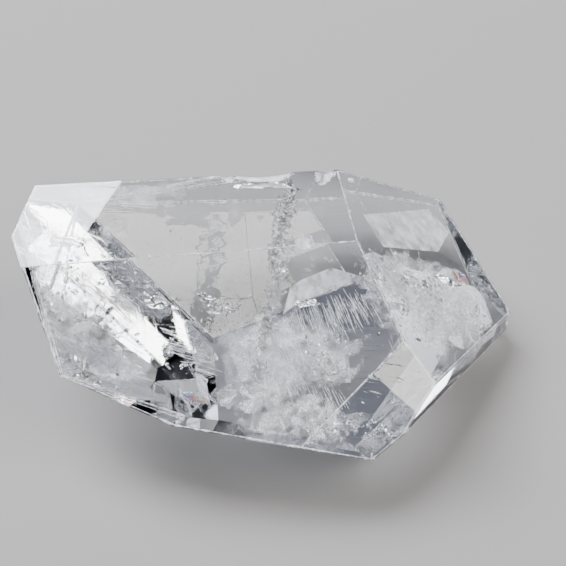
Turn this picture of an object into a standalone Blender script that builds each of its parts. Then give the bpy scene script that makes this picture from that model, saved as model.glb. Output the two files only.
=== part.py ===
"""Clear rock crystal (quartz), cut and polished as a lying point with flat facets.

One solid. Metres, +Z up, long axis along X with the point at +X, the front at -Y,
resting on its bottom facet on Z = 0. The origin is the middle of the box in plan.
"""

import math

import bmesh
import bpy
from mathutils import Matrix, Vector

MM = 0.001

# Facet distances are measured from a middle point this high above the resting facet
MIDDLE_HEIGHT = 10.1 * MM
BLANK_SIZE = 90.0 * MM

# Each facet: bearing seen from above in degrees (0 front, 90 point end, 180 back, -90 butt
# end), tilt of its outward normal in degrees (90 straight up), distance from the middle in mm
FACETS = {
    "top": (2.5, 68.0, 11.5),
    "front": (3.5, 59.0, 11.9),
    "front_right": (17.0, 48.5, 15.7),
    "point_front": (77.0, 49.0, 14.4),
    "point_back": (121.0, 11.0, 21.4),
    "point_lower": (55.5, -6.5, 24.7),
    "butt": (-101.5, 19.5, 26.4),
    "butt_front": (-74.5, -16.5, 23.1),
    "under_front_left": (-31.0, -39.5, 19.3),
    "under_front": (-13.5, -42.5, 18.6),
    "under_point": (47.5, -33.5, 22.8),
    "back": (-175.5, 30.5, 7.0),
    "under_back": (176.0, -45.5, 10.9),
    "under_back_left": (-152.0, -54.0, 7.9),
    "under_butt": (-85.0, -51.5, 11.9),
    "under_point_back": (140.5, -28.0, 19.1),
}

# Wear along the edges: width of the narrow flat that polishing and handling leave
EDGE_WEAR = 0.14 * MM
SHORTEST_EDGE = 0.02 * MM

# Chips knocked out of the edges: place in mm, radius in mm and flattening of the scoop
CHIPS = {
    "back_edge_scoop": ((-0.4, 1.3, 23.4), 3.7, (1.0, 0.62, 0.4), 2.0),
    "back_edge_nick": ((-4.2, 0.5, 23.1), 1.1, (0.8, 1.2, 0.7), 12.0),
    "shoulder_nick": ((6.3, 0.4, 23.0), 1.1, (0.8, 1.3, 0.75), -25.0),
    "crest_nick": ((4.1, -7.0, 20.1), 1.1, (0.9, 0.9, 0.8), 0.0),
    "tip_nick": ((28.3, -1.6, 3.9), 1.2, (0.8, 1.2, 1.0), 20.0),
}


def clear_scene():
    """Remove whatever the scene holds."""
    for obj in list(bpy.data.objects):
        bpy.data.objects.remove(obj, do_unlink=True)


def facet_normal(bearing_deg, tilt_deg):
    """Outward unit normal of a facet."""
    bearing = math.radians(bearing_deg)
    tilt = math.radians(tilt_deg)
    level = math.cos(tilt)
    return Vector((level * math.sin(bearing), -level * math.cos(bearing), math.sin(tilt)))


def cut_facet(bm, point, normal):
    """Saw off what lies outside the plane and close the cut with one flat face."""
    geometry = bm.verts[:] + bm.edges[:] + bm.faces[:]
    cut = bmesh.ops.bisect_plane(
        bm, geom=geometry, dist=1e-7, plane_co=point, plane_no=normal, clear_outer=True
    )
    rim = [item for item in cut["geom_cut"] if isinstance(item, bmesh.types.BMEdge)]
    if rim:
        bmesh.ops.contextual_create(bm, geom=rim)


def cut_crystal():
    """Blank cut to the faceted shape, still at the place where the facets are measured."""
    bm = bmesh.new()
    bmesh.ops.create_cube(bm, size=BLANK_SIZE)
    middle = Vector((0.0, 0.0, MIDDLE_HEIGHT))
    bmesh.ops.translate(bm, verts=bm.verts, vec=middle)
    for bearing, tilt, distance in FACETS.values():
        normal = facet_normal(bearing, tilt)
        cut_facet(bm, middle + normal * distance * MM, normal)
    cut_facet(bm, Vector((0.0, 0.0, 0.0)), Vector((0.0, 0.0, -1.0)))
    bmesh.ops.recalc_face_normals(bm, faces=bm.faces)
    return bm


def wear_edges(bm):
    """Break every sharp edge with a narrow flat."""
    bmesh.ops.bevel(
        bm,
        geom=bm.edges[:] + bm.verts[:],
        offset=EDGE_WEAR,
        offset_type="OFFSET",
        segments=1,
        profile=0.5,
        affect="EDGES",
        material=-1,
        clamp_overlap=True,
    )
    bmesh.ops.remove_doubles(bm, verts=bm.verts, dist=SHORTEST_EDGE)


def level_base(bm):
    """Bring the corners of the resting facet back onto one plane after the wear."""
    lowest = min(vert.co.z for vert in bm.verts)
    for vert in bm.verts:
        if vert.co.z < lowest + SHORTEST_EDGE:
            vert.co.z = lowest


def centre_on_base(bm):
    """Move the crystal so that its box is centred in plan and starts at Z = 0."""
    xs = [vert.co.x for vert in bm.verts]
    ys = [vert.co.y for vert in bm.verts]
    zs = [vert.co.z for vert in bm.verts]
    shift = Vector((-(min(xs) + max(xs)) / 2, -(min(ys) + max(ys)) / 2, -min(zs)))
    bmesh.ops.translate(bm, verts=bm.verts, vec=shift)
    return shift


def quartz_material():
    """Clear quartz: colourless, polished, index of refraction 1.544."""
    material = bpy.data.materials.new("clear_quartz")
    material.use_nodes = True
    shader = material.node_tree.nodes["Principled BSDF"]
    shader.inputs["Base Color"].default_value = (0.93, 0.94, 0.96, 1.0)
    shader.inputs["Roughness"].default_value = 0.02
    shader.inputs["IOR"].default_value = 1.544
    shader.inputs["Metallic"].default_value = 0.0
    shader.inputs["Transmission Weight"].default_value = 1.0
    return material


def chip_cutter(name, place, radius, stretch, turn_deg):
    """Low shell-like scoop, the way quartz breaks, kept as a hidden cutter."""
    bm = bmesh.new()
    bmesh.ops.create_icosphere(bm, subdivisions=3, radius=radius * MM)
    bmesh.ops.scale(bm, verts=bm.verts, vec=Vector(stretch))
    turn = Matrix.Rotation(math.radians(turn_deg), 4, "Z")
    bmesh.ops.transform(bm, verts=bm.verts, matrix=turn)
    mesh = bpy.data.meshes.new(name)
    bm.to_mesh(mesh)
    bm.free()
    cutter = bpy.data.objects.new(name, mesh)
    cutter.location = Vector(place) * MM
    cutter.hide_render = True
    cutter.display_type = "WIRE"
    bpy.context.scene.collection.objects.link(cutter)
    return cutter


def knock_chips(crystal, shift):
    """Take the chips out of the crystal's edges."""
    for name, (place, radius, stretch, turn_deg) in CHIPS.items():
        centre = Vector(place) + shift / MM
        cutter = chip_cutter("cutter_" + name, centre, radius, stretch, turn_deg)
        boolean = crystal.modifiers.new(name, "BOOLEAN")
        boolean.operation = "DIFFERENCE"
        boolean.solver = "EXACT"
        boolean.object = cutter
    weld = crystal.modifiers.new("close_tiny_edges", "WELD")
    weld.merge_threshold = SHORTEST_EDGE


def build_quartz_crystal():
    """The stone itself."""
    bm = cut_crystal()
    wear_edges(bm)
    level_base(bm)
    shift = centre_on_base(bm)
    mesh = bpy.data.meshes.new("quartz_crystal")
    bm.to_mesh(mesh)
    bm.free()
    crystal = bpy.data.objects.new("quartz_crystal", mesh)
    mesh.materials.append(quartz_material())
    bpy.context.scene.collection.objects.link(crystal)
    knock_chips(crystal, shift)
    return crystal


clear_scene()
build_quartz_crystal()
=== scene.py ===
"""Clear quartz point, cut and polished, lying on a plain pale floor."""

import logging
import math
import random
from dataclasses import dataclass, field
from typing import Any

import bmesh
import bpy
from mathutils import Matrix, Vector, noise


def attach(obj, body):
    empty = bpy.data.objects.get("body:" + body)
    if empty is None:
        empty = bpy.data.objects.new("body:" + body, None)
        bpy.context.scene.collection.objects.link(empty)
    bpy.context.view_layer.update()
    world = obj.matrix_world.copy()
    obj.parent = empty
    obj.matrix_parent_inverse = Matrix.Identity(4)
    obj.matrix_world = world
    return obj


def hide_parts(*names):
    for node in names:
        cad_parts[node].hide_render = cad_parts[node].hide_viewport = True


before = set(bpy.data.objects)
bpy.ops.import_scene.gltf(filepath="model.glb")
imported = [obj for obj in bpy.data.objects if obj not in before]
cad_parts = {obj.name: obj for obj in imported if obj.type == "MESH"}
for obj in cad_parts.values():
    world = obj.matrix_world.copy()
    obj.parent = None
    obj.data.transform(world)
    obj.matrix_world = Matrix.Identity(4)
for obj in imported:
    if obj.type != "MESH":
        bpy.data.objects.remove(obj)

logging.basicConfig(level=logging.INFO, format="%(name)s: %(message)s")
LOG = logging.getLogger("quartz")

MM = 0.001
ROOT = "root"
CRYSTAL_NODE = "quartz_crystal"
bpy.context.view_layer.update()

# Attributes: "fade" thins a mark inside the stone, "broken" tells a fresh break from polish
FADE = "fade"
BROKEN = "broken"

# Marks inside the stone end this far under its facets and reach their full strength below that
LEAST_DEPTH = 0.15 * MM
FADE_DEPTH = 0.6 * MM
BRUISE_LEAST_DEPTH = 0.08 * MM
BRUISE_FADE_DEPTH = 0.25 * MM
SHEET_THICKNESS = 0.02 * MM

# Loose triangles of the CAD mesh are joined and merged where they lie in one plane
JOIN_DISTANCE = 0.002 * MM
FLAT_WITHIN_DEG = 0.5

# Pale colours of thin films, in the order in which they follow each other
RAINBOW = ("FFFFFF", "FFF0CC", "FFD6BC", "F0CCEC", "CCD4FF", "CCF4F0", "FFFFFF")


# Colours and nodes


def srgb(code: str) -> tuple[float, float, float, float]:
    """Turn an sRGB hex colour into Blender's linear colour.

    Args:
        code: Six hex digits, such as "F2F3F5".

    Returns:
        Linear red, green, blue and an alpha of 1.
    """
    channels = [int(code[i : i + 2], 16) / 255 for i in (0, 2, 4)]
    linear = [c / 12.92 if c <= 0.04045 else ((c + 0.055) / 1.055) ** 2.4 for c in channels]
    return (linear[0], linear[1], linear[2], 1.0)


def add_node(
    tree: bpy.types.NodeTree,
    kind: str,
    inputs: dict[Any, Any] | None = None,
    **settings: Any,
) -> bpy.types.Node:
    """Add one shader node with its settings, values and links.

    Args:
        tree: Node tree that gets the node.
        kind: Blender's type name of the node.
        inputs: Socket name or index to a value, or to the output socket that feeds it.
        settings: Attributes set on the node before its inputs.

    Returns:
        The new node.
    """
    node = tree.nodes.new(kind)
    for name, value in settings.items():
        setattr(node, name, value)
    for name, value in (inputs or {}).items():
        socket = node.inputs[name]
        if isinstance(value, bpy.types.NodeSocket):
            tree.links.new(value, socket)
        else:
            socket.default_value = value
    return node


def new_material(name: str) -> tuple[bpy.types.Material, bpy.types.NodeTree]:
    """Start an empty node material.

    Args:
        name: Name of the real material.

    Returns:
        The material and its cleared node tree.
    """
    material = bpy.data.materials.new(name)
    material.use_nodes = True
    material.node_tree.nodes.clear()
    return material, material.node_tree


# Finishes


@dataclass(frozen=True)
class ClearQuartz:
    """Rock crystal, lapped and polished: colourless and glassy, hazed by hairline scratches.

    Real quartz bends light with an index of 1.544 to 1.553. Where the attribute "broken" is 1,
    the surface is a fresh shell-like break, rippled and half frosted; 0 is the polish.
    """

    index: float = 1.544
    tint: str = "FCFDFF"
    depth_tint: str = "E9EEF4"
    absorption_per_m: float = 9.0
    polish_roughness: float = 0.012
    haze_roughness: float = 0.13
    break_roughness: float = 0.42
    scratch_length_mm: float = 7.0
    scratch_gap_mm: float = 0.4
    scratch_share: float = 0.02
    scratch_turn: tuple[float, float, float] = (0.3, 0.5, 0.9)
    rubbed_patch_mm: float = 6.25
    ripple_mm: float = 0.25
    relief_mm: float = 0.12

    def make(self) -> bpy.types.Material:
        """Build the polished surface over a faintly absorbing volume.

        Returns:
            The material.
        """
        material, tree = new_material("clear_quartz")
        place = add_node(tree, "ShaderNodeTexCoord").outputs["Object"]
        broken = add_node(
            tree, "ShaderNodeAttribute", attribute_type="GEOMETRY", attribute_name=BROKEN
        ).outputs["Fac"]
        marks = self.polish_marks(tree, place)
        hazed = add_node(
            tree,
            "ShaderNodeMapRange",
            {"Value": marks, "To Min": self.polish_roughness, "To Max": self.haze_roughness},
        )
        roughness = add_node(
            tree,
            "ShaderNodeMapRange",
            {"Value": broken, "To Min": hazed.outputs[0], "To Max": self.break_roughness},
        )
        surface = add_node(
            tree,
            "ShaderNodeBsdfPrincipled",
            {
                "Base Color": srgb(self.tint),
                "Metallic": 0.0,
                "Roughness": roughness.outputs[0],
                "IOR": self.index,
                "Transmission Weight": 1.0,
                "Normal": self.relief(tree, place, broken, marks),
            },
        )
        inside = add_node(
            tree,
            "ShaderNodeVolumeAbsorption",
            {"Color": srgb(self.depth_tint), "Density": self.absorption_per_m},
        )
        add_node(
            tree,
            "ShaderNodeOutputMaterial",
            {"Surface": surface.outputs[0], "Volume": inside.outputs[0]},
        )
        return material

    def relief(
        self,
        tree: bpy.types.NodeTree,
        place: bpy.types.NodeSocket,
        broken: bpy.types.NodeSocket,
        marks: bpy.types.NodeSocket,
    ) -> bpy.types.NodeSocket:
        """Ripple the fresh breaks and sink the scratches.

        Args:
            tree: The material's nodes.
            place: Object coordinates.
            broken: 1 on a fresh break, 0 on the polish.
            marks: 1 on a scratch, 0 on clean polish.

        Returns:
            The bent surface direction.
        """
        ripples = add_node(
            tree,
            "ShaderNodeTexNoise",
            {"Vector": place, "Scale": 1 / (self.ripple_mm * MM), "Detail": 4.0, "Distortion": 0.8},
        )
        rippled = add_node(
            tree,
            "ShaderNodeMath",
            {0: ripples.outputs["Fac"], 1: broken},
            operation="MULTIPLY",
        )
        height = add_node(
            tree,
            "ShaderNodeMath",
            {0: marks, 1: self.scratch_share, 2: rippled.outputs[0]},
            operation="MULTIPLY_ADD",
        )
        bump = add_node(
            tree,
            "ShaderNodeBump",
            {"Height": height.outputs[0], "Strength": 1.0, "Distance": self.relief_mm * MM},
        )
        return bump.outputs[0]

    def polish_marks(
        self, tree: bpy.types.NodeTree, place: bpy.types.NodeSocket
    ) -> bpy.types.NodeSocket:
        """Draw hairline scratches that gather in rubbed patches.

        Args:
            tree: The material's nodes.
            place: Object coordinates.

        Returns:
            0 on clean polish, 1 on a scratch.
        """
        along = 1 / (self.scratch_length_mm * MM)
        gap = 1 / (self.scratch_gap_mm * MM)
        turned = add_node(
            tree,
            "ShaderNodeMapping",
            {"Vector": place, "Rotation": self.scratch_turn, "Scale": (along, gap, gap * 0.4)},
        )
        hairlines = add_node(
            tree, "ShaderNodeTexNoise", {"Vector": turned.outputs[0], "Scale": 1.0, "Detail": 2.0}
        )
        lines = add_node(
            tree,
            "ShaderNodeMapRange",
            {"Value": hairlines.outputs["Fac"], "From Min": 0.6, "From Max": 0.68},
        )
        patches = add_node(
            tree,
            "ShaderNodeTexNoise",
            {"Vector": place, "Scale": 1 / (self.rubbed_patch_mm * MM), "Detail": 3.0},
        )
        rubbed = add_node(
            tree,
            "ShaderNodeMapRange",
            {"Value": patches.outputs["Fac"], "From Min": 0.46, "From Max": 0.66},
        )
        both = add_node(
            tree,
            "ShaderNodeMath",
            {0: lines.outputs[0], 1: rubbed.outputs[0]},
            operation="MULTIPLY",
        )
        return both.outputs[0]


@dataclass(frozen=True)
class MilkyVeil:
    """Veil of microscopic fluid-filled pockets: a white haze that lets most light past.

    The pockets are a few microns across, far too fine to show; the clouds and fibres they
    form are drawn at their real size. The attribute "fade" thins the veil towards its rim.
    """

    name: str
    cloud_mm: float
    cover: float
    most: float = 0.75
    fibre_mm: float = 0.25
    fibre_length_mm: float = 2.5
    fibre_turn: tuple[float, float, float] = (0.2, 0.4, 0.6)
    thinnest: float = 0.25
    water_index: float = 1.33
    colour: str = "FBFCFF"

    def make(self) -> bpy.types.Material:
        """Build the cloudy, fibrous white haze.

        Returns:
            The material.
        """
        material, tree = new_material(self.name)
        place = add_node(tree, "ShaderNodeTexCoord").outputs["Object"]
        clouds = add_node(
            tree,
            "ShaderNodeTexNoise",
            {
                "Vector": place,
                "Scale": 1 / (self.cloud_mm * MM),
                "Detail": 5.0,
                "Roughness": 0.6,
                "Distortion": 0.5,
            },
        )
        clear_below = 0.66 - 0.4 * self.cover
        cloud = add_node(
            tree,
            "ShaderNodeMapRange",
            {
                "Value": clouds.outputs["Fac"],
                "From Min": clear_below,
                "From Max": clear_below + 0.34,
            },
            interpolation_type="SMOOTHSTEP",
        )
        fade = add_node(
            tree, "ShaderNodeAttribute", attribute_type="GEOMETRY", attribute_name=FADE
        ).outputs["Fac"]
        thick = add_node(
            tree,
            "ShaderNodeMath",
            {0: cloud.outputs[0], 1: self.fibres(tree, place)},
            operation="MULTIPLY",
        )
        amount = add_node(
            tree, "ShaderNodeMath", {0: thick.outputs[0], 1: fade}, operation="MULTIPLY"
        )
        surface = add_node(
            tree,
            "ShaderNodeBsdfPrincipled",
            {
                "Base Color": srgb(self.colour),
                "Roughness": 0.8,
                "Metallic": 0.0,
                "IOR": self.water_index,
                "Alpha": amount.outputs[0],
            },
        )
        add_node(tree, "ShaderNodeOutputMaterial", {"Surface": surface.outputs[0]})
        return material

    def fibres(
        self, tree: bpy.types.NodeTree, place: bpy.types.NodeSocket
    ) -> bpy.types.NodeSocket:
        """Comb the haze into fibres.

        Args:
            tree: The material's nodes.
            place: Object coordinates.

        Returns:
            How dense the haze is, from its thinnest to its most.
        """
        across = 1 / (self.fibre_mm * MM)
        turned = add_node(
            tree,
            "ShaderNodeMapping",
            {
                "Vector": place,
                "Rotation": self.fibre_turn,
                "Scale": (across, across, 1 / (self.fibre_length_mm * MM)),
            },
        )
        threads = add_node(
            tree, "ShaderNodeTexNoise", {"Vector": turned.outputs[0], "Scale": 1.0, "Detail": 3.0}
        )
        fibre = add_node(
            tree,
            "ShaderNodeMapRange",
            {
                "Value": threads.outputs["Fac"],
                "From Min": 0.36,
                "From Max": 0.66,
                "To Min": self.thinnest,
                "To Max": self.most,
            },
        )
        return fibre.outputs[0]


@dataclass(frozen=True)
class AirFilm:
    """Film of air in an open crack: from inside the quartz it mirrors like silver.

    The index is that of air seen from quartz, 1 / 1.544. Where the film is thinner than a
    wavelength of light it shows the pale colours of thin films.
    """

    name: str
    roughness: float
    index: float = 0.648
    ripple_mm: float = 0.4
    relief_mm: float = 0.06
    colours: tuple[str, ...] = ()
    band_mm: float = 0.9
    first_band: float = 0.3
    band_reach: float = 0.4

    def make(self) -> bpy.types.Material:
        """Build the film.

        Returns:
            The material.
        """
        material, tree = new_material(self.name)
        place = add_node(tree, "ShaderNodeTexCoord").outputs["Object"]
        ripple = add_node(
            tree,
            "ShaderNodeTexNoise",
            {"Vector": place, "Scale": 1 / (self.ripple_mm * MM), "Detail": 3.0},
        )
        bump = add_node(
            tree,
            "ShaderNodeBump",
            {
                "Height": ripple.outputs["Fac"],
                "Strength": 0.5,
                "Distance": self.relief_mm * MM,
            },
        )
        film = add_node(
            tree,
            "ShaderNodeBsdfGlass",
            {"Roughness": self.roughness, "IOR": self.index, "Normal": bump.outputs[0]},
        )
        if self.colours:
            tree.links.new(self.bands(tree, place), film.inputs["Color"])
        add_node(tree, "ShaderNodeOutputMaterial", {"Surface": film.outputs[0]})
        return material


    def bands(
        self, tree: bpy.types.NodeTree, place: bpy.types.NodeSocket
    ) -> bpy.types.NodeSocket:
        """Lay the colours side by side in wavy bands.

        Args:
            tree: The material's nodes.
            place: Object coordinates.

        Returns:
            The colour.
        """
        waves = add_node(
            tree,
            "ShaderNodeTexNoise",
            {"Vector": place, "Scale": 1 / (self.band_mm * MM), "Detail": 1.0},
        )
        ramp = add_node(tree, "ShaderNodeValToRGB", {"Fac": waves.outputs["Fac"]})
        stops = ramp.color_ramp.elements
        while len(stops) < len(self.colours):
            stops.new(0.5)
        for i, code in enumerate(self.colours):
            stops[i].position = self.first_band + self.band_reach * i / (len(self.colours) - 1)
            stops[i].color = srgb(code)
        return ramp.outputs["Color"]


@dataclass(frozen=True)
class StudioPaper:
    """Pale seamless paper: matt, a little warm, with a faint tooth."""

    colour: str = "666564"
    tooth_per_m: float = 1500.0
    tooth_height_mm: float = 0.1

    def make(self) -> bpy.types.Material:
        """Build the paper.

        Returns:
            The material.
        """
        material, tree = new_material("seamless_paper")
        place = add_node(tree, "ShaderNodeTexCoord").outputs["Object"]
        tooth = add_node(
            tree, "ShaderNodeTexNoise", {"Vector": place, "Scale": self.tooth_per_m, "Detail": 3.0}
        )
        bump = add_node(
            tree,
            "ShaderNodeBump",
            {
                "Height": tooth.outputs["Fac"],
                "Strength": 0.06,
                "Distance": self.tooth_height_mm * MM,
            },
        )
        surface = add_node(
            tree,
            "ShaderNodeBsdfPrincipled",
            {
                "Base Color": srgb(self.colour),
                "Roughness": 0.9,
                "Metallic": 0.0,
                "Normal": bump.outputs[0],
            },
        )
        add_node(tree, "ShaderNodeOutputMaterial", {"Surface": surface.outputs[0]})
        return material


# Shapes


def merged_copy(node: str) -> bmesh.types.BMesh:
    """Copy a CAD node's mesh with its loose triangles joined and its flat faces whole.

    Args:
        node: Name of the CAD node.

    Returns:
        A new mesh in metres, in the frame's own place.
    """
    bm = bmesh.new()
    bm.from_mesh(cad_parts[node].data)
    bmesh.ops.remove_doubles(bm, verts=bm.verts, dist=JOIN_DISTANCE)
    bmesh.ops.dissolve_limit(
        bm,
        angle_limit=math.radians(FLAT_WITHIN_DEG),
        verts=bm.verts,
        edges=bm.edges,
        delimit={"NORMAL"},
    )
    bmesh.ops.recalc_face_normals(bm, faces=bm.faces)
    return bm


def new_piece(
    name: str, bm: bmesh.types.BMesh, materials: list[bpy.types.Material], smooth: bool = False
) -> bpy.types.Object:
    """Turn a mesh into a named object at the origin.

    Args:
        name: Name of the piece.
        bm: Its mesh; freed here.
        materials: Its finishes, in the order of its faces' indices.
        smooth: Whether its faces are shaded smooth.

    Returns:
        The new object.
    """
    mesh = bpy.data.meshes.new(name)
    bmesh.ops.recalc_face_normals(bm, faces=bm.faces)
    for face in bm.faces:
        face.smooth = smooth
    bm.to_mesh(mesh)
    bm.free()
    for material in materials:
        mesh.materials.append(material)
    piece = bpy.data.objects.new(name, mesh)
    bpy.context.scene.collection.objects.link(piece)
    return piece


def inside_piece(
    name: str, bm: bmesh.types.BMesh, material: bpy.types.Material, smooth: bool = False
) -> bpy.types.Object:
    """Make a mark inside the stone that rides with it.

    Args:
        name: Name of the piece.
        bm: Its mesh; freed here.
        material: Its finish.
        smooth: Whether its faces are shaded smooth.

    Returns:
        The new object.
    """
    piece = new_piece(name, bm, [material], smooth)
    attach(piece, ROOT)
    return piece


class Facets:
    """The flat facets of the cut stone, for telling how deep a point lies under them."""

    def __init__(self, bm: bmesh.types.BMesh, smallest_mm2: float) -> None:
        """Keep the planes of every large face.

        Args:
            bm: The stone's merged mesh.
            smallest_mm2: Faces below this area are chips or worn edges.
        """
        self.planes = [
            (face.normal.copy(), face.normal.dot(face.verts[0].co))
            for face in bm.faces
            if face.calc_area() > smallest_mm2 * MM * MM
        ]

    def depth(self, point: Vector) -> float:
        """Tell how deep a point lies.

        Args:
            point: A place in metres.

        Returns:
            Distance in metres to the nearest facet, negative outside the stone.
        """
        return min(offset - normal.dot(point) for normal, offset in self.planes)


@dataclass(frozen=True)
class Sheet:
    """Wavy, torn sheet inside the stone, such as a veil or the face of a crack.

    Places are in mm. Its length runs along one direction, and its width is squared up to it.
    Its rim is torn by a coarse noise and fades over the outer part of the sheet.
    """

    centre: tuple[float, float, float]
    along: tuple[float, float, float]
    across: tuple[float, float, float]
    size: tuple[float, float]
    crumple: float
    seed: float
    step: float = 0.3
    ragged: float = 0.35
    octaves: int = 5
    tears_per_mm: float = 0.6
    waves_per_mm: float = 0.25
    reach: float = 0.94
    rim: float = 0.4

    def mesh(self, facets: Facets, into: bmesh.types.BMesh) -> None:
        """Add the sheet as a thin closed solid.

        Args:
            facets: Facets that the sheet stays under.
            into: Mesh that gets it.
        """
        length, width = self.size
        u = Vector(self.along).normalized()
        w = u.cross(Vector(self.across)).normalized()
        v = w.cross(u)
        bm = marks_mesh()
        fade = bm.verts.layers.float[FADE]
        bmesh.ops.create_grid(
            bm,
            x_segments=max(4, round(length / self.step)),
            y_segments=max(4, round(width / self.step)),
            size=0.5,
        )
        gone = []
        for vert in bm.verts:
            a, b = vert.co.x * 2, vert.co.y * 2
            here = Vector((vert.co.x * length, vert.co.y * width, self.seed * 10))
            tear = noise.fractal(here * self.tears_per_mm, 0.8, 2.1, 4) * self.ragged
            apart = Vector((7.0, 3.0, self.seed))
            wave = noise.fractal(here * self.waves_per_mm + apart, 0.9, 2.0, self.octaves)
            place = Vector(self.centre) + u * here.x + v * here.y + w * wave * self.crumple
            vert.co = place * MM
            depth = facets.depth(vert.co)
            left = self.reach - math.hypot(a, b) - tear
            vert[fade] = max(0.0, min(1.0, left / self.rim)) * min(1.0, depth / FADE_DEPTH)
            if left < 0 or depth < LEAST_DEPTH:
                gone.append(vert)
        bmesh.ops.delete(bm, geom=gone, context="VERTS")
        lone = [vert for vert in bm.verts if not vert.link_faces]
        bmesh.ops.delete(bm, geom=lone, context="VERTS")
        bmesh.ops.recalc_face_normals(bm, faces=bm.faces)
        bmesh.ops.solidify(bm, geom=bm.faces[:], thickness=SHEET_THICKNESS)
        joined(into, bm)


@dataclass(frozen=True)
class Needles:
    """Fan of fine spindle-shaped streaks that start along a line. Places are in mm."""

    start: tuple[float, float, float]
    end: tuple[float, float, float]
    lean_start: tuple[float, float, float]
    lean_end: tuple[float, float, float]
    count: int
    length: tuple[float, float]
    width: tuple[float, float] = (0.04, 0.13)
    scatter: float = 0.5
    lean_scatter: float = 0.07

    def mesh(self, facets: Facets, into: bmesh.types.BMesh, draw: random.Random) -> None:
        """Add the streaks.

        Args:
            facets: Facets that the streaks stay under.
            into: Mesh that gets them.
            draw: Source of random numbers.
        """
        bm = marks_mesh()
        for _ in range(self.count):
            share = draw.random()
            root = Vector(self.start).lerp(Vector(self.end), share)
            root += Vector(draw.gauss(0, self.scatter) for _ in range(3))
            lean = Vector(self.lean_start).lerp(Vector(self.lean_end), share).normalized()
            lean += Vector(draw.gauss(0, self.lean_scatter) for _ in range(3))
            length = draw.uniform(*self.length)
            tip = root + lean * length
            if min(facets.depth(root * MM), facets.depth(tip * MM)) < LEAST_DEPTH:
                continue
            spindle(bm, root, tip, draw.uniform(*self.width), draw)
        joined(into, bm)


@dataclass(frozen=True)
class Splinters:
    """Cluster of tiny tilted plates, each an open crack that glints. Places are in mm."""

    centre: tuple[float, float, float]
    spread: tuple[float, float, float]
    count: int
    plate: tuple[float, float] = (0.12, 0.6)

    def mesh(self, facets: Facets, into: bmesh.types.BMesh, draw: random.Random) -> None:
        """Add the plates.

        Args:
            facets: Facets that the plates stay under.
            into: Mesh that gets them.
            draw: Source of random numbers.
        """
        bm = marks_mesh()
        for _ in range(self.count):
            place = Vector(
                middle + draw.gauss(0, reach) for middle, reach in zip(self.centre, self.spread)
            )
            radius = draw.uniform(*self.plate) * draw.random() ** 0.5 + self.plate[0] * 0.5
            if facets.depth(place * MM) < LEAST_DEPTH + radius * MM:
                continue
            plate(bm, place, radius, draw)
        joined(into, bm)


@dataclass(frozen=True)
class CrackFace:
    """Flat face of an old crack, bounded by straight edges. Places are in mm.

    Each corner carries how dense its frosting is, from 0 to 1.
    """

    corners: tuple[tuple[float, float, float, float], ...]

    def mesh(self, into: bmesh.types.BMesh) -> None:
        """Add the crack face as a thin closed solid.

        Args:
            into: Mesh that gets it.
        """
        bm = marks_mesh()
        fade = bm.verts.layers.float[FADE]
        verts = []
        for x, y, z, dense in self.corners:
            vert = bm.verts.new(Vector((x, y, z)) * MM)
            vert[fade] = dense
            verts.append(vert)
        bmesh.ops.contextual_create(bm, geom=verts)
        bmesh.ops.triangulate(bm, faces=bm.faces)
        bmesh.ops.solidify(bm, geom=bm.faces[:], thickness=SHEET_THICKNESS)
        joined(into, bm)


@dataclass(frozen=True)
class ChipBruise:
    """White bruise in the quartz right behind a shell-like chip. Measures are in mm."""

    centre: tuple[float, float, float]
    radius: float
    stretch: tuple[float, float, float]
    turn_deg: float
    behind: float = 0.35
    thinned_below: float = 0.05

    def mesh(self, facets: Facets, into: bmesh.types.BMesh) -> None:
        """Add the bruise as a thin closed shell.

        Args:
            facets: Facets that the bruise stays under.
            into: Mesh that gets it.
        """
        bm = marks_mesh()
        fade = bm.verts.layers.float[FADE]
        bmesh.ops.create_icosphere(bm, subdivisions=5, radius=(self.radius + self.behind) * MM)
        bmesh.ops.scale(bm, verts=bm.verts, vec=Vector(self.stretch))
        turn = Matrix.Rotation(math.radians(self.turn_deg), 4, "Z")
        whole = Matrix.Translation(Vector(self.centre) * MM) @ turn
        bmesh.ops.transform(bm, verts=bm.verts, matrix=whole)
        gone = []
        for vert in bm.verts:
            depth = facets.depth(vert.co)
            tear = noise.fractal(vert.co / (self.radius * 0.5 * MM), 0.8, 2.1, 4)
            vert[fade] = max(0.0, min(1.0, depth / BRUISE_FADE_DEPTH, 0.8 + 2.0 * tear))
            if depth < BRUISE_LEAST_DEPTH or vert[fade] < self.thinned_below:
                gone.append(vert)
        bmesh.ops.delete(bm, geom=gone, context="VERTS")
        bmesh.ops.recalc_face_normals(bm, faces=bm.faces)
        bmesh.ops.solidify(bm, geom=bm.faces[:], thickness=SHEET_THICKNESS)
        joined(into, bm)


def marks_mesh() -> bmesh.types.BMesh:
    """Start an empty mesh whose points carry the attribute that thins a mark.

    Returns:
        The new mesh.
    """
    bm = bmesh.new()
    bm.verts.layers.float.new(FADE)
    return bm


def joined(into: bmesh.types.BMesh, bm: bmesh.types.BMesh) -> None:
    """Add one mesh to another and free it.

    Args:
        into: Mesh that grows.
        bm: Mesh that is added.
    """
    mesh = bpy.data.meshes.new("joined")
    bm.to_mesh(mesh)
    bm.free()
    into.from_mesh(mesh)
    bpy.data.meshes.remove(mesh)


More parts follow.
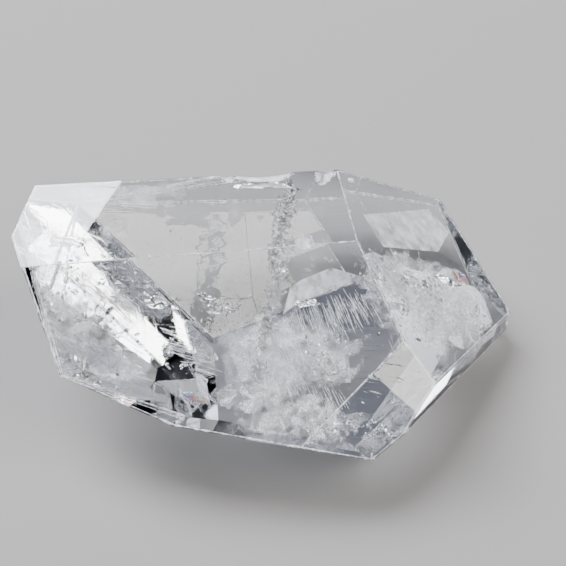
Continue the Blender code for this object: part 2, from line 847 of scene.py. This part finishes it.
def spindle(
    into: bmesh.types.BMesh, root: Vector, tip: Vector, width: float, draw: random.Random
) -> None:
    """Add one thin five-sided spindle between two places in mm.

    Args:
        into: Mesh that gets it.
        root: Its first end.
        tip: Its other end.
        width: Its greatest width.
        draw: Source of random numbers.
    """
    ray = tip - root
    turn = ray.to_track_quat("Z", "Y").to_matrix().to_4x4()
    place = Matrix.Translation((root + tip) / 2 * MM) @ turn
    place @= Matrix.Rotation(draw.uniform(0, math.pi), 4, "Z")
    made = bmesh.ops.create_uvsphere(
        into, u_segments=5, v_segments=6, radius=0.5 * MM, matrix=Matrix()
    )
    bmesh.ops.scale(into, verts=made["verts"], vec=Vector((width, width * 0.4, ray.length)))
    fade = into.verts.layers.float[FADE]
    for vert in made["verts"]:
        vert[fade] = 1.0
    bmesh.ops.transform(into, verts=made["verts"], matrix=place)


def plate(into: bmesh.types.BMesh, place: Vector, radius: float, draw: random.Random) -> None:
    """Add one tiny uneven plate at a place in mm.

    Args:
        into: Mesh that gets it.
        place: Its middle.
        radius: Its radius.
        draw: Source of random numbers.
    """
    made = bmesh.ops.create_icosphere(into, subdivisions=1, radius=radius * MM)
    for vert in made["verts"]:
        vert.co *= draw.uniform(0.6, 1.25)
    bmesh.ops.scale(into, verts=made["verts"], vec=Vector((1.0, draw.uniform(0.4, 1.0), 0.12)))
    turn = Matrix.Rotation(draw.uniform(0, math.tau), 4, "Z")
    tilt = Matrix.Rotation(math.acos(draw.uniform(-1, 1)), 4, "Y")
    spin = Matrix.Rotation(draw.uniform(0, math.tau), 4, "Z")
    whole = Matrix.Translation(place * MM) @ turn @ tilt @ spin
    bmesh.ops.transform(into, verts=made["verts"], matrix=whole)


# The stone


@dataclass
class Stone:
    """The cut and polished crystal: the CAD solid with its small chips and worn edges."""

    smallest_facet_mm2: float = 4.5
    seed: int = 5
    chip_facelet_mm2: float = 0.12
    ripple_mm: float = 0.11
    ripple_gap_mm: float = 0.5
    nicks: int = 40
    nick_mm: tuple[float, float] = (0.1, 0.38)
    long_edge_mm: float = 4.0
    floor_edge_mm: float = 3.0
    facets: Facets = field(init=False)
    edges: list[tuple[Vector, Vector]] = field(init=False)

    def build(self) -> bpy.types.Object:
        """Copy the CAD solid and dress it.

        Returns:
            The stone's object.
        """
        bm = merged_copy(CRYSTAL_NODE)
        self.facets = Facets(bm, self.smallest_facet_mm2)
        self.edges = self.long_edges(bm)
        for face in bm.faces:
            face.material_index = int(face.calc_area() < self.smallest_facet_mm2 * MM * MM)
        self.ripple_chips(bm)
        quartz = ClearQuartz().make()
        stone = new_piece("clear_crystal", bm, [quartz, quartz])
        self.nick_edges(stone, quartz)
        self.mark_breaks(stone.data)
        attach(stone, ROOT)
        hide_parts(CRYSTAL_NODE)
        return stone

    def ripple_chips(self, bm: bmesh.types.BMesh) -> None:
        """Give the larger chips the shell-like ripples of broken quartz.

        Args:
            bm: The stone's mesh, with its small faces at material index 1.
        """
        largest = self.chip_facelet_mm2 * MM * MM
        for vert in bm.verts:
            if all(face.material_index and face.calc_area() < largest for face in vert.link_faces):
                ripple = noise.fractal(vert.co / (self.ripple_gap_mm * MM), 0.7, 2.0, 4)
                vert.co += vert.normal * ripple * self.ripple_mm * MM

    def mark_breaks(self, mesh: bpy.types.Mesh) -> None:
        """Turn the second material index into the attribute that marks a fresh break.

        Args:
            mesh: The stone's mesh.
        """
        broken = mesh.attributes.new(BROKEN, "FLOAT", "FACE")
        for face in mesh.polygons:
            broken.data[face.index].value = float(face.material_index)
            face.material_index = 0
        mesh.materials.pop(index=1)

    def long_edges(self, bm: bmesh.types.BMesh) -> list[tuple[Vector, Vector]]:
        """List the ends of the stone's long upper edges.

        Args:
            bm: The stone's merged mesh.

        Returns:
            Start and end of each long edge that isn't on the floor.
        """
        return [
            (edge.verts[0].co.copy(), edge.verts[1].co.copy())
            for edge in bm.edges
            if edge.calc_length() > self.long_edge_mm * MM
            and max(vert.co.z for vert in edge.verts) > self.floor_edge_mm * MM
        ]

    def nick_lumps(self) -> bmesh.types.BMesh:
        """Make the uneven lumps that are taken out of the edges.

        Returns:
            A mesh with all lumps, whose faces have the second material index.
        """
        draw = random.Random(self.seed)
        lengths = [(b - a).length for a, b in self.edges]
        bm = bmesh.new()
        for _ in range(self.nicks):
            a, b = draw.choices(self.edges, lengths)[0]
            place = a.lerp(b, draw.random())
            radius = draw.uniform(*self.nick_mm) * draw.random() + self.nick_mm[0]
            made = bmesh.ops.create_icosphere(bm, subdivisions=2, radius=radius * MM)
            for vert in made["verts"]:
                vert.co *= draw.uniform(0.8, 1.15)
            stretch = Vector((draw.uniform(0.8, 2.0), draw.uniform(0.8, 1.2), 0.7))
            bmesh.ops.scale(bm, verts=made["verts"], vec=stretch)
            turn = Matrix.Rotation(draw.uniform(0, math.pi), 4, "Z")
            bmesh.ops.transform(bm, verts=made["verts"], matrix=Matrix.Translation(place) @ turn)
        for face in bm.faces:
            face.material_index = 1
        return bm

    def nick_edges(self, stone: bpy.types.Object, quartz: bpy.types.Material) -> None:
        """Knock tiny nicks out of the long edges.

        Args:
            stone: The stone's object.
            quartz: The stone's finish.
        """
        cutter = new_piece("nick_cutter", self.nick_lumps(), [quartz, quartz])
        boolean = stone.modifiers.new("nicks", "BOOLEAN")
        boolean.operation = "DIFFERENCE"
        boolean.solver = "EXACT"
        boolean.use_self = True
        boolean.material_mode = "INDEX"
        boolean.object = cutter
        depsgraph = bpy.context.evaluated_depsgraph_get()
        nicked = bpy.data.meshes.new_from_object(stone.evaluated_get(depsgraph))
        stone.modifiers.clear()
        stone.data = nicked
        bpy.data.objects.remove(cutter)


# What shows inside the stone


@dataclass
class HealedFracture:
    """Old crack across the middle, healed with trapped pockets: a twisted ribbon of glints."""

    ribbon: Sheet = Sheet(
        (0.2, -1.0, 15.6), (0.13, 0.88, 0.46), (0.5, 0.6, -0.7), (22.0, 4.6), 1.5, 1.3, 0.22, 0.5
    )
    pocket_spread: tuple[float, float, float] = (0.5, 1.3, 0.9)
    pocket_mm: tuple[float, float] = (0.12, 0.6)
    seed: int = 11

    def pockets(self) -> list[Splinters]:
        """List the clusters of pockets, from the rear edge down to the front.

        Returns:
            The clusters.
        """
        places = (
            ((1.5, 8.0, 20.6), 20),
            ((1.3, 4.4, 19.3), 26),
            ((1.0, 0.7, 17.6), 50),
            ((0.6, -1.6, 16.2), 60),
            ((0.1, -3.6, 15.0), 40),
            ((-0.9, -7.2, 12.9), 34),
            ((-1.1, -10.0, 11.2), 24),
        )
        return [
            Splinters(centre, self.pocket_spread, count, self.pocket_mm)
            for centre, count in places
        ]

    def build(self, facets: Facets) -> list[bpy.types.Object]:
        """Build the ribbon and the glints in it.

        Args:
            facets: Facets of the stone.

        Returns:
            The two pieces.
        """
        bm = marks_mesh()
        self.ribbon.mesh(facets, bm)
        film = AirFilm("healed_fracture_film", 0.03).make()
        ribbon = inside_piece("healed_fracture", bm, film, True)
        draw = random.Random(self.seed)
        bm = marks_mesh()
        for cluster in self.pockets():
            cluster.mesh(facets, bm, draw)
        glints = inside_piece("healed_fracture_pockets", bm, AirFilm("pocket_film", 0.02).make())
        return [ribbon, glints]


@dataclass
class Veils:
    """Milky veils: the clouds of tiny fluid pockets in the point, the middle and the butt."""

    def build(self, facets: Facets) -> list[bpy.types.Object]:
        """Build every veil.

        Args:
            facets: Facets of the stone.

        Returns:
            One piece for each veil.
        """
        pieces = []
        for name, sheets, finish in self.plan():
            bm = marks_mesh()
            for sheet in sheets:
                sheet.mesh(facets, bm)
            pieces.append(inside_piece(name, bm, finish.make(), True))
        return pieces

    def plan(self) -> list[tuple[str, list[Sheet], MilkyVeil]]:
        """List each veil's name, sheets and finish.

        Returns:
            One entry for each veil.
        """
        level, deep, steep = (1, 0.1, 0), (0, 1, 0.15), (0, 1, 0.7)
        down, flat = (1, -0.2, -0.5), (0, 1, 0.1)
        middle = [
            Sheet((1.0, -2.4, 4.6), level, deep, (17, 12), 1.2, 2.1, 0.4, 0.3, 2),
            Sheet((0.0, -4.0, 6.4), level, deep, (14, 9), 1.4, 3.7, 0.4, 0.3, 2),
            Sheet((4.0, -6.5, 7.6), level, steep, (11, 7), 1.2, 4.3, 0.4, 0.4, 2),
            Sheet((3.0, -8.0, 9.4), level, steep, (8, 5), 1.2, 4.9, 0.3, 0.5, 3),
        ]
        point = [
            Sheet((15.5, 0.5, 9.4), down, flat, (16, 14), 1.6, 5.2, 0.4, 0.3, 2),
            Sheet((17.0, 2.0, 7.4), down, flat, (14, 13), 1.6, 6.4, 0.4, 0.3, 2),
            Sheet((18.5, 3.0, 5.4), level, flat, (13, 13), 1.2, 7.1, 0.4, 0.3, 2),
            Sheet((12.6, 0.5, 13.4), (0.4, 1, 0.2), (-0.3, 0, 1), (8, 6), 1.4, 7.9, 0.3, 0.4, 3),
            Sheet((19.0, 1.0, 8.6), down, flat, (9, 8), 1.4, 7.5, 0.3, 0.5, 2),
        ]
        butt = [
            Sheet((-21.0, -3.0, 14.6), (1, 0, -0.3), steep, (12, 10), 1.2, 8.8, 0.4, 0.3, 2),
            Sheet((-18.0, -3.5, 12.5), (1, 0, -0.6), steep, (10, 8), 1.2, 9.6, 0.4, 0.3, 2),
            Sheet((-20.0, 2.0, 17.4), (1, 0, -0.2), deep, (10, 6), 1.0, 9.9, 0.4, 0.4, 2),
        ]
        lying = (1, 0.02, 0.03)
        top = [
            Sheet((-13.5, 5.4, 21.6), lying, (0, 1, 0.4), (20, 4), 0.3, 14.2, 0.4, 0.3, 2),
        ]
        front = [
            Sheet((2.5, -13.0, 6.4), level, steep, (14, 5), 1.0, 12.2, 0.3, 0.4, 3),
            Sheet((-2.0, -11.0, 7.6), level, steep, (10, 4), 1.0, 13.2, 0.3, 0.4, 3),
        ]
        return [
            ("veil_middle", middle, MilkyVeil("milky_veil_middle", 2.4, 0.8, 0.9, 0.22, 2.4)),
            ("veil_point", point, MilkyVeil("milky_veil_point", 1.9, 0.95, 1.0, 0.3, 1.4)),
            ("veil_butt", butt, MilkyVeil("milky_veil_butt", 2.2, 0.75, 0.75, 0.26, 2.0)),
            ("haze_under_top", top, MilkyVeil("haze_under_top", 1.6, 0.85, 0.6, 0.18, 0.6)),
            ("veil_front", front, MilkyVeil("milky_veil_front", 1.3, 0.9, 0.9, 0.16, 1.0)),
        ]


@dataclass
class EdgeBruisesAndPaintedHighlights:
    """White under the worn upper edges: partly bruising of tiny side-by-side cracks, partly a
    painted highlight along each ridge.
    """

    under_mm: float = 0.2
    width_mm: tuple[float, float] = (0.16, 0.26)
    step_mm: float = 0.9
    middle_mm: tuple[float, float, float] = (0.0, 0.0, 9.0)
    seed: int = 41

    def build(self, edges: list[tuple[Vector, Vector]]) -> bpy.types.Object:
        """Build short overlapping streaks along each edge.

        Args:
            edges: Ends of the stone's long edges.

        Returns:
            The piece.
        """
        draw = random.Random(self.seed)
        whole = marks_mesh()
        middle = Vector(self.middle_mm)
        for a, b in edges:
            bm = marks_mesh()
            start, end = a / MM, b / MM
            length = (end - start).length
            steps = round(length / self.step_mm)
            for i in range(steps):
                root = start.lerp(end, i / steps)
                tip = start.lerp(end, min(1.0, (i + draw.uniform(0.9, 1.5)) / steps))
                sink = (middle - root).normalized() * self.under_mm
                spindle(bm, root + sink, tip + sink, draw.uniform(*self.width_mm), draw)
            joined(whole, bm)
        # The streaks' white is partly edge bruising and partly a painted highlight line along the
        # ridges.
        finish = MilkyVeil("edge_bruise_and_painted_highlight", 1.6, 1.6, 1.3, 0.3, 1.0)
        return inside_piece("edge_bruises_and_painted_highlights", whole, finish.make(), True)


@dataclass
class CrackFaces:
    """Flat old crack faces, frosted white, that show straight-edged through the facets.

    White bruises lie behind the chips, and white knots where cracks run together.
    """

    lower: CrackFace = CrackFace(
        (
            (1.7, 7.3, 4.2, 1.0),
            (2.9, 8.1, 4.6, 1.0),
            (6.3, 9.4, 5.3, 0.8),
            (10.1, 8.5, 4.6, 0.4),
            (2.5, 5.8, 3.2, 1.0),
            (0.9, 4.7, 2.6, 1.0),
        )
    )
    upper: CrackFace = CrackFace(
        (
            (8.6, 6.6, 16.8, 1.0),
            (16.2, 15.0, 10.2, 1.0),
            (18.8, 13.6, 8.0, 1.0),
            (17.1, 9.4, 8.6, 0.8),
            (10.4, 4.6, 13.6, 0.7),
        )
    )

    def chips(self) -> list[ChipBruise]:
        """List the bruises behind the chips; the first is the large petal on the rear edge.

        Returns:
            One bruise for each chip.
        """
        return [
            ChipBruise((-1.17, 8.36, 23.4), 3.7, (1.0, 0.62, 0.4), 2.0),
            ChipBruise((-4.97, 7.56, 23.1), 1.1, (0.8, 1.2, 0.7), 12.0),
            ChipBruise((5.53, 7.46, 23.0), 1.1, (0.8, 1.3, 0.75), -25.0),
            ChipBruise((3.33, 0.06, 20.1), 1.1, (0.9, 0.9, 0.8), 0.0, 0.2),
            ChipBruise((27.53, 5.46, 3.9), 1.2, (0.8, 1.2, 1.0), 20.0),
        ]

    def knots(self) -> list[Sheet]:
        """List the small white knots where cracks run together.

        Returns:
            The knots.
        """
        lying, rising = (1, 0, 0), (0, 1, 0.3)
        return [
            Sheet((8.4, 8.5, 21.2), lying, rising, (1.8, 1.0), 0.3, 53.0, 0.08, 0.6),
            Sheet((24.4, 0.2, 5.6), lying, rising, (1.4, 1.6), 0.5, 55.0, 0.1, 0.6),
            Sheet((19.2, -4.1, 8.8), lying, rising, (2.4, 1.8), 0.5, 56.0, 0.1, 0.6),
        ]

    def build(self, facets: Facets) -> list[bpy.types.Object]:
        """Build the crack faces and the bruises.

        Args:
            facets: Facets of the stone.

        Returns:
            The two crack faces and the bruises.
        """
        finish = MilkyVeil("frosted_crack_face", 9.0, 1.7, 1.0, 1.2, 3.0).make()
        pieces = []
        for name, face in (("crack_face_lower", self.lower), ("crack_face_upper", self.upper)):
            bm = marks_mesh()
            face.mesh(bm)
            pieces.append(inside_piece(name, bm, finish))
        bm = marks_mesh()
        for bruise in self.chips() + self.knots():
            bruise.mesh(facets, bm)
        white = MilkyVeil("bruise", 0.8, 1.6, 1.3, 0.2, 0.4).make()
        pieces.append(inside_piece("chip_bruises", bm, white, True))
        return pieces


@dataclass
class Feathers:
    """Feather cracks: fans of fine streaks and the small open cracks that glint among them."""

    seed: int = 23

    def build(self, facets: Facets) -> list[bpy.types.Object]:
        """Build the streaks, the splinters and the larger open cracks.

        Args:
            facets: Facets of the stone.

        Returns:
            The four pieces.
        """
        draw = random.Random(self.seed)
        streaks = marks_mesh()
        for fan in self.fans():
            fan.mesh(facets, streaks, draw)
        white = MilkyVeil("feather_streak", 2.0, 1.7, 0.95).make()
        pieces = [inside_piece("feather_streaks", streaks, white, True)]
        glints = marks_mesh()
        for cluster in self.clusters():
            cluster.mesh(facets, glints, draw)
        film = AirFilm("splinter_film", 0.02).make()
        pieces.append(inside_piece("splinters", glints, film))
        films = {
            "open_cracks": (self.cracks(), AirFilm("open_crack_film", 0.05)),
            "rainbow_cracks": (self.rainbows(), AirFilm("rainbow_film", 0.04, colours=RAINBOW)),
        }
        for name, (cracks, finish) in films.items():
            bm = marks_mesh()
            for crack in cracks:
                crack.mesh(facets, bm)
            pieces.append(inside_piece(name, bm, finish.make(), True))
        return pieces

    def fans(self) -> list[Needles]:
        """List the fans of streaks.

        Returns:
            The fans.
        """
        down, out = (0.25, -0.8, -0.5), (0.5, -0.8, -0.5)
        right, fall = (0.8, -0.4, 0.1), (0.8, -0.5, -0.5)
        rise, back_left, back_right = (0.1, -0.9, 0.3), (-0.2, 0.9, 0.1), (0.2, 0.9, 0.1)
        return [
            Needles((2.4, -3.2, 12.2), (9.6, -1.4, 12.8), down, out, 120, (1.2, 3.6)),
            Needles((-11.5, -5.5, 11.2), (-7.0, -8.5, 9.0), right, right, 60, (1.0, 2.6)),
            Needles((9.5, 1.0, 16.0), (12.5, -1.0, 13.0), fall, fall, 70, (1.2, 3.6)),
            Needles((-1.0, -9.0, 8.0), (6.0, -10.0, 7.6), rise, out, 70, (0.8, 2.4)),
            Needles((-21.0, -2.0, 16.4), (-15.0, -3.0, 12.6), fall, fall, 70, (1.0, 3.0)),
            Needles((-1.0, -5.0, 12.0), (3.0, -8.0, 10.0), down, out, 60, (0.8, 2.6)),
            Needles((13.0, -6.0, 9.6), (20.0, -1.0, 7.0), back_left, back_right, 60, (0.8, 2.2)),
        ]

    def clusters(self) -> list[Splinters]:
        """List the clusters of glinting splinters.

        Returns:
            The clusters.
        """
        return [
            Splinters((5.3, -8.2, 10.0), (0.7, 1.4, 1.2), 90),
            Splinters((-5.0, -3.7, 13.1), (2.0, 1.4, 1.0), 60),
            Splinters((4.8, -15.0, 7.6), (1.8, 0.8, 0.7), 110, (0.1, 0.45)),
            Splinters((8.0, -14.0, 7.0), (1.6, 0.8, 0.7), 40, (0.1, 0.35)),
            Splinters((-9.0, -7.6, 9.4), (1.6, 1.0, 0.9), 40),
            Splinters((11.4, 1.0, 14.6), (1.3, 1.2, 1.2), 60),
            Splinters((15.4, -0.5, 10.4), (2.6, 2.0, 1.2), 80),
            Splinters((21.5, 1.0, 6.4), (1.4, 1.2, 0.8), 60, (0.1, 0.5)),
            Splinters((7.6, -5.4, 11.7), (2.4, 1.6, 1.4), 60, (0.06, 0.2)),
            Splinters((-17.0, 1.0, 16.0), (3.0, 2.5, 1.6), 50, (0.08, 0.3)),
            Splinters((-17.5, -2.6, 13.6), (2.2, 1.6, 1.2), 70, (0.15, 0.8)),
            Splinters((-21.5, -1.0, 16.0), (1.6, 2.0, 1.2), 40, (0.1, 0.5)),
            Splinters((17.0, 2.0, 9.6), (2.4, 2.4, 1.6), 80, (0.2, 0.9)),
            Splinters((9.2, -0.2, 18.2), (0.8, 0.7, 0.4), 40, (0.05, 0.16)),
        ]

    def cracks(self) -> list[Sheet]:
        """List the larger open cracks.

        Seen from the front, the ones turned back and right catch the light; the others show dark.

        Returns:
            The cracks.
        """
        level, back = (1, 0, 0), (0, 0.95, -0.3)
        right, up = (0.82, 0, -0.54), (0.1, 1, 0.2)
        aside, on = (0.93, 0, -0.37), (0, 1, -0.04)
        return [
            Sheet((-1.0, 6.4, 21.8), (1, 0.02, 0), back, (7.4, 2.4), 0.3, 21.0, 0.15, 0.2),
            Sheet((3.4, -2.4, 12.6), level, back, (3.0, 2.6), 0.5, 22.0, 0.15, 0.5),
            Sheet((5.8, -8.6, 9.8), right, up, (3.0, 2.6), 0.9, 23.0, 0.15, 0.5),
            Sheet((18.6, 4.4, 9.6), level, back, (4.6, 2.4), 0.5, 24.0, 0.15, 0.4),
            Sheet((20.0, 0.0, 7.2), right, up, (3.6, 2.0), 0.6, 28.0, 0.15, 0.4),
            Sheet((-21.5, 1.5, 18.0), level, back, (4.0, 2.2), 0.6, 30.0, 0.2, 0.5),
            Sheet((11.2, -0.4, 13.6), right, up, (4.0, 2.6), 0.8, 26.0, 0.15, 0.5),
            Sheet((13.6, 1.6, 12.4), level, back, (3.6, 2.6), 0.8, 27.0, 0.15, 0.5),
            Sheet((-5.0, -3.9, 13.0), level, back, (3.6, 2.0), 0.7, 31.0, 0.15, 0.6),
            Sheet((1.0, -1.4, 16.4), level, back, (1.6, 2.6), 0.5, 32.0, 0.12, 0.5),
            Sheet((0.4, -3.4, 15.2), right, up, (1.5, 2.4), 0.5, 33.0, 0.12, 0.5),
            Sheet((0.2, 1.0, 16.4), aside, on, (1.6, 3.2), 0.4, 34.0, 0.12, 0.4),
            Sheet((1.2, 4.6, 18.6), aside, on, (1.2, 2.8), 0.4, 35.0, 0.12, 0.4),
            Sheet((-0.6, -6.4, 13.4), aside, on, (1.4, 3.0), 0.5, 36.0, 0.12, 0.5),
            Sheet((23.4, 0.9, 6.0), aside, on, (2.4, 1.0), 0.4, 37.0, 0.12, 0.5),
            Sheet((16.6, 3.2, 10.6), aside, on, (2.8, 1.6), 0.7, 38.0, 0.15, 0.5),
            Sheet((13.0, -2.4, 11.6), aside, on, (1.6, 3.4), 0.6, 39.0, 0.15, 0.5),
            Sheet((-6.7, -1.8, 12.6), aside, on, (3.4, 1.8), 0.7, 40.0, 0.15, 0.5),
            Sheet((-11.6, -2.6, 13.0), aside, on, (4.6, 2.4), 0.9, 41.0, 0.15, 0.5),
            Sheet((6.6, -5.6, 11.2), aside, on, (1.6, 2.4), 0.7, 42.0, 0.15, 0.5),
        ]

    def rainbows(self) -> list[Sheet]:
        """List the cracks so thin that they show the colours of thin films.

        Returns:
            The cracks.
        """
        right, up = (0.82, 0, -0.54), (0.1, 1, 0.2)
        return [
            Sheet((20.3, 6.0, 8.8), right, up, (2.6, 1.8), 0.4, 61.0, 0.12, 0.4),
            Sheet((-7.8, -12.9, 9.8), right, up, (3.0, 1.0), 0.3, 62.0, 0.12, 0.4),
        ]


# The studio


@dataclass(frozen=True)
class SoftBox:
    """Rectangular soft light that faces the stone.

    Its bearing is seen from the stone, 0 behind it and 90 at its point. Measures are in metres,
    degrees and watts.
    """

    name: str
    bearing_deg: float
    rise_deg: float
    distance: float
    size: tuple[float, float]
    power: float
    colour: str

    def hang(self) -> None:
        """Hang the light at its place."""
        light = bpy.data.lights.new(self.name, "AREA")
        light.shape = "RECTANGLE"
        light.size, light.size_y = self.size
        light.energy = self.power
        light.color = srgb(self.colour)[:3]
        lamp = bpy.data.objects.new(self.name, light)
        turn = math.radians(self.bearing_deg)
        rise = math.radians(self.rise_deg)
        place = Vector(
            (math.sin(turn) * math.cos(rise), math.cos(turn) * math.cos(rise), math.sin(rise))
        )
        lamp.location = place * self.distance
        lamp.rotation_euler = place.to_track_quat("Z", "Y").to_euler()
        bpy.context.scene.collection.objects.link(lamp)


@dataclass
class Studio:
    """Plain pale floor and large soft lights, with the camera at the photograph's angle."""

    floor_size: float = 3.0
    paper_tooth_mm: float = 0.02
    target_mm: tuple[float, float, float] = (1.1, 15.3, 0.0)
    elevation_deg: float = 42.45
    distance_mm: float = 151.8
    lens_mm: float = 78.1
    sensor_mm: float = 36.0
    nearest_mm: float = 5.0
    world_colour: str = "24262A"
    boxes: tuple[SoftBox, ...] = (
        SoftBox("window", 303, 58, 0.9, (0.46, 0.72), 44.0, "F6F8FF"),
        SoftBox("side", 115, 48, 0.8, (0.5, 0.5), 12.5, "FFFAF2"),
        SoftBox("back_card", 8, 58, 1.2, (0.6, 0.4), 0.15, "E8ECFF"),
        SoftBox("horizon", 4, 10, 1.0, (0.9, 0.3), 13.5, "F8F9FF"),
    )

    def floor(self) -> bpy.types.Object:
        """Lay the floor under the stone, which rests on the tooth of the paper.

        Returns:
            The floor's object.
        """
        bm = bmesh.new()
        bmesh.ops.create_grid(bm, x_segments=1, y_segments=1, size=self.floor_size / 2)
        bmesh.ops.translate(bm, verts=bm.verts, vec=Vector((0.0, 0.0, -self.paper_tooth_mm * MM)))
        floor = new_piece("floor", bm, [StudioPaper().make()])
        return floor

    def lights(self) -> None:
        """Light the stone from above, from the point end and from behind, in a dim room."""
        world = bpy.data.worlds.new("studio")
        bpy.context.scene.world = world
        world.use_nodes = True
        world.node_tree.nodes["Background"].inputs["Color"].default_value = srgb(self.world_colour)
        for box in self.boxes:
            box.hang()

    def camera(self) -> None:
        """Set the camera at the photograph's viewing angle."""
        data = bpy.data.cameras.new("camera")
        data.lens = self.lens_mm
        data.sensor_width = self.sensor_mm
        data.clip_start = self.nearest_mm * MM
        camera = bpy.data.objects.new("camera", data)
        rise = math.radians(self.elevation_deg)
        ahead = Vector((0.0, math.cos(rise), -math.sin(rise)))
        camera.location = Vector(self.target_mm) * MM - ahead * self.distance_mm * MM
        camera.rotation_euler = (math.radians(90 - self.elevation_deg), 0.0, 0.0)
        bpy.context.scene.collection.objects.link(camera)
        bpy.context.scene.camera = camera


def main() -> None:
    """Build the stone, what shows inside it, and the studio."""
    stone = Stone()
    studio = Studio()
    pieces = [stone.build()]
    pieces += HealedFracture().build(stone.facets)
    pieces += Veils().build(stone.facets)
    pieces += CrackFaces().build(stone.facets)
    pieces.append(EdgeBruisesAndPaintedHighlights().build(stone.edges))
    pieces += Feathers().build(stone.facets)
    pieces.append(studio.floor())
    for piece in pieces:
        LOG.info("%s: %d faces", piece.name, len(piece.data.polygons))
    studio.lights()
    studio.camera()


if __name__ == "__main__":
    main()
